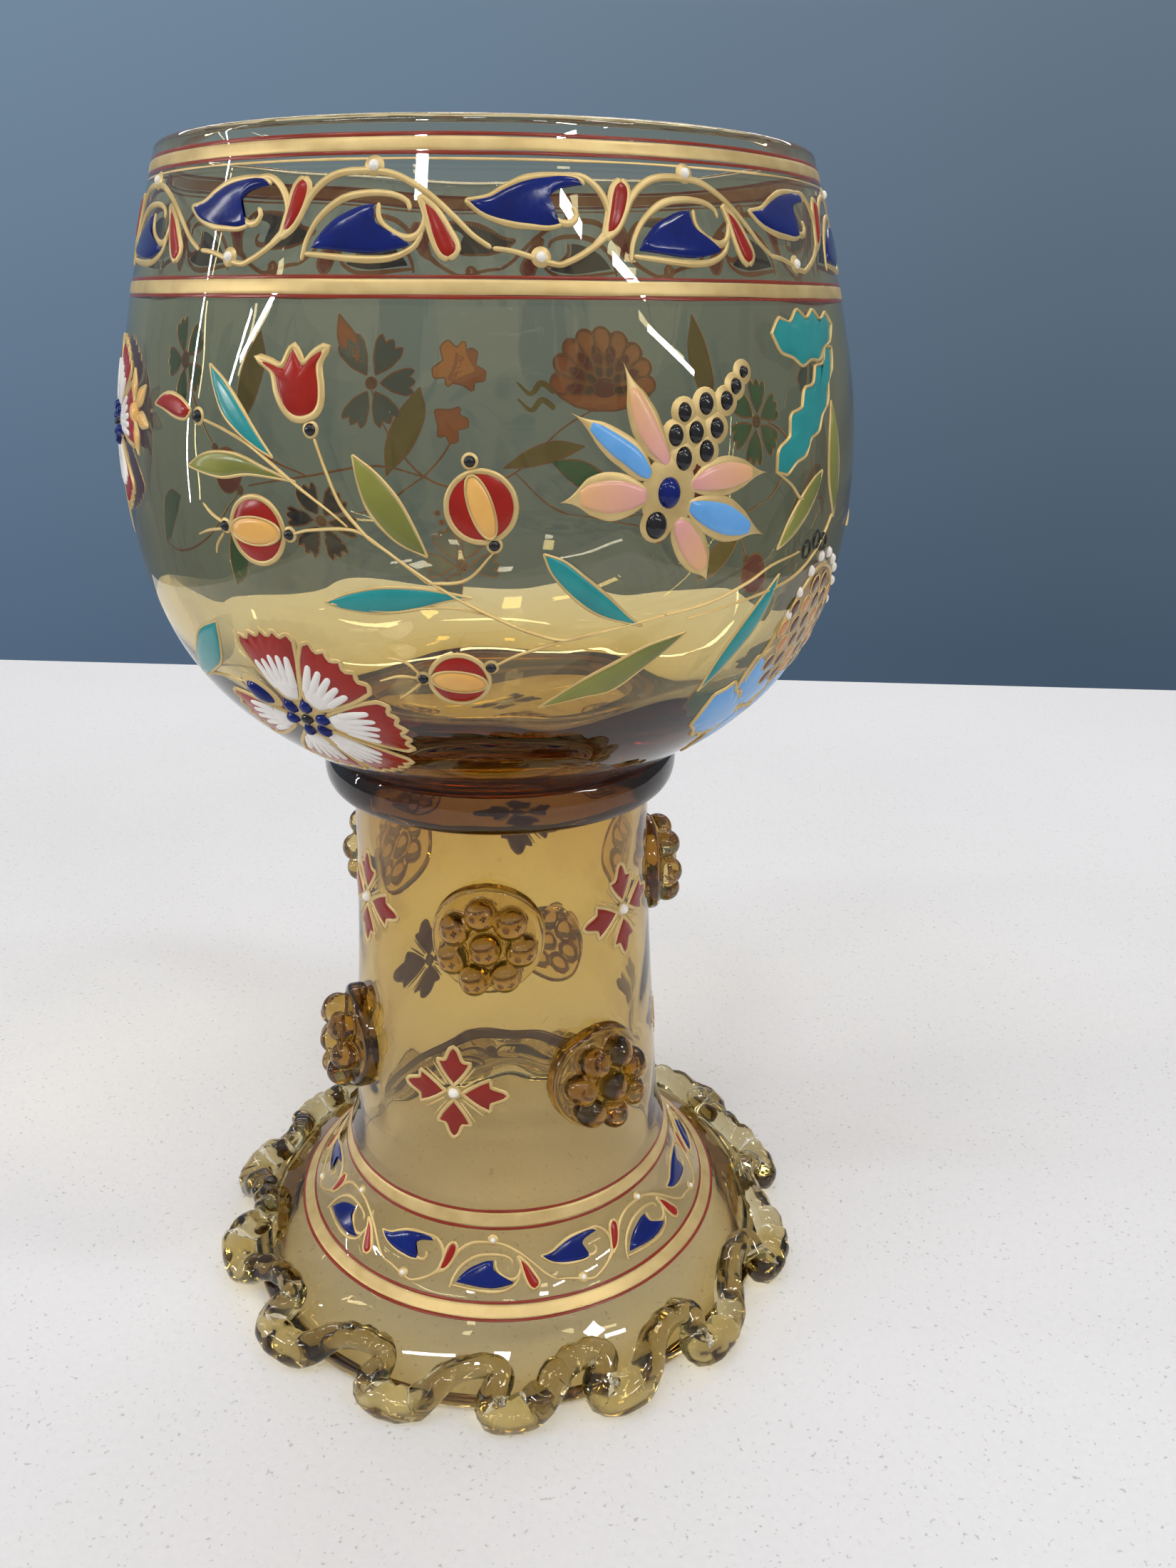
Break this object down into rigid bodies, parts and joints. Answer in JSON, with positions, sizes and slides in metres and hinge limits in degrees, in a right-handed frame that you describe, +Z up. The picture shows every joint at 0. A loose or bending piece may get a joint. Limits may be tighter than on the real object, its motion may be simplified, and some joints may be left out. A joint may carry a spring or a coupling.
{
  "type": "roemer goblet",
  "caption": "Roemer goblet: barrel bowl with enamelled band on a hollow stem with raspberry prunts, collar ring, and a spread foot edged with a wavy trailed thread.",
  "frame": {"origin": "on the table, under the middle of the foot", "axes": "+Z up along the axis of the glass, -Y towards the front of the decoration as pictured"},
  "size_m": [0.0898, 0.0898, 0.1534],
  "materials": {
    "bowl_glass": "clear, greenish grey",
    "collar_glass": "clear, dark amber",
    "stem_glass": "clear, amber",
    "thread_glass": "clear, smoky amber",
    "prunt_glass": "clear, amber",
    "gilding": "fired gold, satin",
    "enamel": "fired enamel, glossy, in several colours"
  },
  "bodies": {
    "root": {"bowl": "bowl_glass", "collar": "collar_glass", "stem_foot": "stem_glass", "foot_thread": "thread_glass", "prunt_upper_front": "prunt_glass", "prunt_upper_right": "prunt_glass", "prunt_upper_back": "prunt_glass", "prunt_lower_right": "prunt_glass", "prunt_lower_back": "prunt_glass", "prunt_lower_left": "prunt_glass"}
  },
  "joints": []
}
